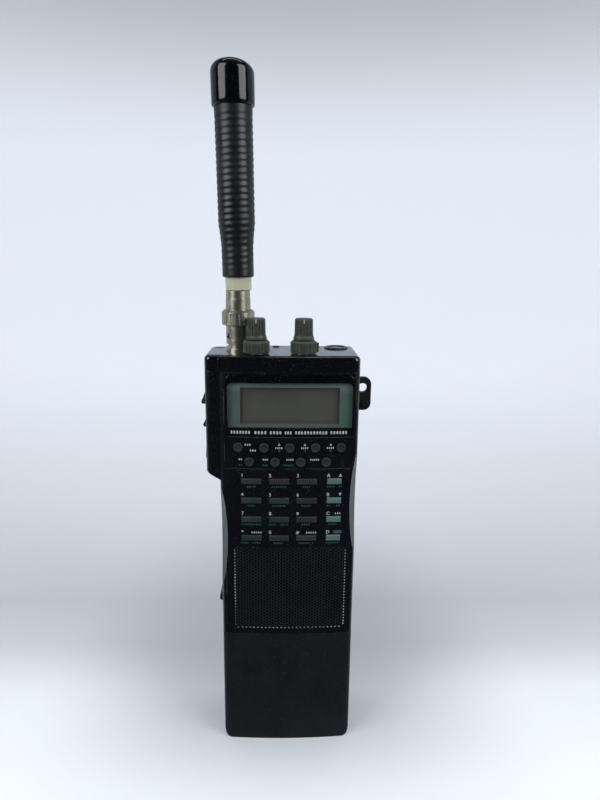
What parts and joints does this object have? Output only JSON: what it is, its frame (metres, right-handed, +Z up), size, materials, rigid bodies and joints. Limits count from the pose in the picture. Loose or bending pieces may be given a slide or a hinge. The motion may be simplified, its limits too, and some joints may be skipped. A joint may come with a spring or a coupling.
{
  "type": "handheld two-way radio",
  "caption": "Handheld two-way radio with keypad, display window, stacked knobs, bayonet rubber antenna and a slide-off battery pack.",
  "frame": {"origin": "centre of the battery pack's base, where the radio stands", "axes": "+Z up along the body towards the antenna, -Y out of the front face, +X to the viewer's right"},
  "size_m": [0.0799, 0.0367, 0.3223],
  "materials": {
    "case_plastic": "semi-matte moulded black",
    "cast_case": "black painted die casting",
    "gloss_cover": "high gloss black",
    "window": "clear acrylic with black border",
    "mask": "green-grey print",
    "lcd": "liquid-crystal glass",
    "grille": "black perforated sheet",
    "speaker": "steel basket and magnet",
    "board": "printed circuit board",
    "rubber_key": "dark silicone",
    "green_key": "muted green silicone",
    "round_key": "dark grey silicone",
    "membrane": "silicone membrane",
    "knob": "olive grey",
    "brass": "plated brass",
    "ivory": "aged ivory plastic",
    "sheath": "black rubber",
    "tip": "glossy black rubber",
    "pack": "semi-matte moulded black",
    "cells": "sleeved cells",
    "steel": "steel",
    "lens": "dark red lens",
    "dark_button": "black button",
    "olive_button": "olive button"
  },
  "bodies": {
    "radio": {"front_case": "case_plastic", "rear_case": "cast_case", "top_cover": "gloss_cover", "display_window": "window", "display_bezel": "mask", "lcd_panel": "lcd", "speaker_grille": "grille", "speaker": "speaker", "control_board": "board", "rf_board": "board", "keypad_membrane": "membrane", "bnc_jack": "brass", "potentiometers": "steel", "strap_bracket": "dark_button", "case_screws": "steel", "rail_plate": "steel", "led_lens": "lens", "latch_spring": "steel"},
    "battery": {"battery_case": "pack", "battery_top_plate": "pack", "battery_cells": "cells"},
    "antenna": {"antenna_plug": "brass", "antenna_collar": "ivory", "antenna_sheath": "sheath", "antenna_tip": "tip"},
    "coupling_nut": {"bnc_coupling_nut": "brass"},
    "left_knob_outer": {"left_knob_outer": "knob"},
    "left_knob_inner": {"left_knob_inner": "knob"},
    "right_knob_outer": {"right_knob_outer": "knob"},
    "right_knob_inner": {"right_knob_inner": "knob"},
    "button_1_1": {"button_1_1": "round_key"},
    "button_1_2": {"button_1_2": "round_key"},
    "button_1_3": {"button_1_3": "round_key"},
    "button_1_4": {"button_1_4": "round_key"},
    "button_1_5": {"button_1_5": "round_key"},
    "button_2_1": {"button_2_1": "round_key"},
    "button_2_2": {"button_2_2": "round_key"},
    "button_2_3": {"button_2_3": "round_key"},
    "button_2_4": {"button_2_4": "round_key"},
    "key_1_1": {"key_1_1": "rubber_key"},
    "key_1_2": {"key_1_2": "rubber_key"},
    "key_1_3": {"key_1_3": "rubber_key"},
    "key_1_4": {"key_1_4": "green_key"},
    "key_2_1": {"key_2_1": "rubber_key"},
    "key_2_2": {"key_2_2": "rubber_key"},
    "key_2_3": {"key_2_3": "rubber_key"},
    "key_2_4": {"key_2_4": "green_key"},
    "key_3_1": {"key_3_1": "rubber_key"},
    "key_3_2": {"key_3_2": "rubber_key"},
    "key_3_3": {"key_3_3": "rubber_key"},
    "key_3_4": {"key_3_4": "green_key"},
    "key_4_1": {"key_4_1": "rubber_key"},
    "key_4_2": {"key_4_2": "rubber_key"},
    "key_4_3": {"key_4_3": "rubber_key"},
    "key_4_4": {"key_4_4": "green_key"},
    "ptt_bar": {"ptt_bar": "dark_button"},
    "side_key_upper": {"side_key_upper": "olive_button"},
    "side_key_lower": {"side_key_lower": "dark_button"},
    "battery_release": {"battery_release": "dark_button"},
    "jack_cover": {"jack_cover": "sheath"}
  },
  "joints": [
    {"name": "battery_slide", "type": "slide", "parent": "radio", "child": "battery", "axis": [1, 0, 0], "range_m": [0, 0.009], "deforming": ["latch_spring"]},
    {"name": "antenna_lift", "type": "slide", "parent": "radio", "child": "antenna", "axis": [0, 0, 1], "range_m": [0, 0.0024]},
    {"name": "nut_turn", "type": "hinge", "parent": "antenna", "child": "coupling_nut", "pos_m": [-0.0237, 0, 0.2068], "axis": [0, 0, 1], "range_deg": [-90, 0]},
    {"name": "left_knob_outer_turn", "type": "hinge", "parent": "radio", "child": "left_knob_outer", "pos_m": [-0.01495, -0.0093, 0.205], "axis": [0, 0, 1], "range_deg": [-140, 140]},
    {"name": "left_knob_inner_turn", "type": "hinge", "parent": "radio", "child": "left_knob_inner", "pos_m": [-0.01495, -0.0093, 0.205], "axis": [0, 0, 1], "range_deg": [-140, 140]},
    {"name": "right_knob_outer_turn", "type": "hinge", "parent": "radio", "child": "right_knob_outer", "pos_m": [0.0064, -0.0093, 0.205], "axis": [0, 0, 1], "range_deg": [-140, 140]},
    {"name": "right_knob_inner_turn", "type": "hinge", "parent": "radio", "child": "right_knob_inner", "pos_m": [0.0064, -0.0093, 0.205], "axis": [0, 0, 1], "range_deg": [-140, 140]},
    {"name": "button_1_1_press", "type": "slide", "parent": "radio", "child": "button_1_1", "axis": [0, 1, 0], "range_m": [0, 0.0008], "stiffness_N_per_m": 1500},
    {"name": "button_1_2_press", "type": "slide", "parent": "radio", "child": "button_1_2", "axis": [0, 1, 0], "range_m": [0, 0.0008], "stiffness_N_per_m": 1500},
    {"name": "button_1_3_press", "type": "slide", "parent": "radio", "child": "button_1_3", "axis": [0, 1, 0], "range_m": [0, 0.0008], "stiffness_N_per_m": 1500},
    {"name": "button_1_4_press", "type": "slide", "parent": "radio", "child": "button_1_4", "axis": [0, 1, 0], "range_m": [0, 0.0008], "stiffness_N_per_m": 1500},
    {"name": "button_1_5_press", "type": "slide", "parent": "radio", "child": "button_1_5", "axis": [0, 1, 0], "range_m": [0, 0.0008], "stiffness_N_per_m": 1500},
    {"name": "button_2_1_press", "type": "slide", "parent": "radio", "child": "button_2_1", "axis": [0, 1, 0], "range_m": [0, 0.0008], "stiffness_N_per_m": 1500},
    {"name": "button_2_2_press", "type": "slide", "parent": "radio", "child": "button_2_2", "axis": [0, 1, 0], "range_m": [0, 0.0008], "stiffness_N_per_m": 1500},
    {"name": "button_2_3_press", "type": "slide", "parent": "radio", "child": "button_2_3", "axis": [0, 1, 0], "range_m": [0, 0.0008], "stiffness_N_per_m": 1500},
    {"name": "button_2_4_press", "type": "slide", "parent": "radio", "child": "button_2_4", "axis": [0, 1, 0], "range_m": [0, 0.0008], "stiffness_N_per_m": 1500},
    {"name": "key_1_1_press", "type": "slide", "parent": "radio", "child": "key_1_1", "axis": [0, 1, 0], "range_m": [0, 0.0008], "stiffness_N_per_m": 1500},
    {"name": "key_1_2_press", "type": "slide", "parent": "radio", "child": "key_1_2", "axis": [0, 1, 0], "range_m": [0, 0.0008], "stiffness_N_per_m": 1500},
    {"name": "key_1_3_press", "type": "slide", "parent": "radio", "child": "key_1_3", "axis": [0, 1, 0], "range_m": [0, 0.0008], "stiffness_N_per_m": 1500},
    {"name": "key_1_4_press", "type": "slide", "parent": "radio", "child": "key_1_4", "axis": [0, 1, 0], "range_m": [0, 0.0008], "stiffness_N_per_m": 1500},
    {"name": "key_2_1_press", "type": "slide", "parent": "radio", "child": "key_2_1", "axis": [0, 1, 0], "range_m": [0, 0.0008], "stiffness_N_per_m": 1500},
    {"name": "key_2_2_press", "type": "slide", "parent": "radio", "child": "key_2_2", "axis": [0, 1, 0], "range_m": [0, 0.0008], "stiffness_N_per_m": 1500},
    {"name": "key_2_3_press", "type": "slide", "parent": "radio", "child": "key_2_3", "axis": [0, 1, 0], "range_m": [0, 0.0008], "stiffness_N_per_m": 1500},
    {"name": "key_2_4_press", "type": "slide", "parent": "radio", "child": "key_2_4", "axis": [0, 1, 0], "range_m": [0, 0.0008], "stiffness_N_per_m": 1500},
    {"name": "key_3_1_press", "type": "slide", "parent": "radio", "child": "key_3_1", "axis": [0, 1, 0], "range_m": [0, 0.0008], "stiffness_N_per_m": 1500},
    {"name": "key_3_2_press", "type": "slide", "parent": "radio", "child": "key_3_2", "axis": [0, 1, 0], "range_m": [0, 0.0008], "stiffness_N_per_m": 1500},
    {"name": "key_3_3_press", "type": "slide", "parent": "radio", "child": "key_3_3", "axis": [0, 1, 0], "range_m": [0, 0.0008], "stiffness_N_per_m": 1500},
    {"name": "key_3_4_press", "type": "slide", "parent": "radio", "child": "key_3_4", "axis": [0, 1, 0], "range_m": [0, 0.0008], "stiffness_N_per_m": 1500},
    {"name": "key_4_1_press", "type": "slide", "parent": "radio", "child": "key_4_1", "axis": [0, 1, 0], "range_m": [0, 0.0008], "stiffness_N_per_m": 1500},
    {"name": "key_4_2_press", "type": "slide", "parent": "radio", "child": "key_4_2", "axis": [0, 1, 0], "range_m": [0, 0.0008], "stiffness_N_per_m": 1500},
    {"name": "key_4_3_press", "type": "slide", "parent": "radio", "child": "key_4_3", "axis": [0, 1, 0], "range_m": [0, 0.0008], "stiffness_N_per_m": 1500},
    {"name": "key_4_4_press", "type": "slide", "parent": "radio", "child": "key_4_4", "axis": [0, 1, 0], "range_m": [0, 0.0008], "stiffness_N_per_m": 1500},
    {"name": "ptt_bar_press", "type": "slide", "parent": "radio", "child": "ptt_bar", "axis": [1, 0, 0], "range_m": [0, 0.001], "stiffness_N_per_m": 2500},
    {"name": "side_key_upper_press", "type": "slide", "parent": "radio", "child": "side_key_upper", "axis": [1, 0, 0], "range_m": [0, 0.001], "stiffness_N_per_m": 2000},
    {"name": "side_key_lower_press", "type": "slide", "parent": "radio", "child": "side_key_lower", "axis": [1, 0, 0], "range_m": [0, 0.001], "stiffness_N_per_m": 2000},
    {"name": "battery_release_lift", "type": "slide", "parent": "radio", "child": "battery_release", "axis": [0, 0, 1], "range_m": [0, 0.002], "stiffness_N_per_m": 1500, "deforming": ["latch_spring"]},
    {"name": "jack_cover_lift", "type": "slide", "parent": "radio", "child": "jack_cover", "axis": [0, 0, 1], "range_m": [0, 0.008]}
  ],
  "couplings": [
    {"joint": "nut_turn", "follows": "antenna_lift", "rad_per_m": -654.5}
  ]
}
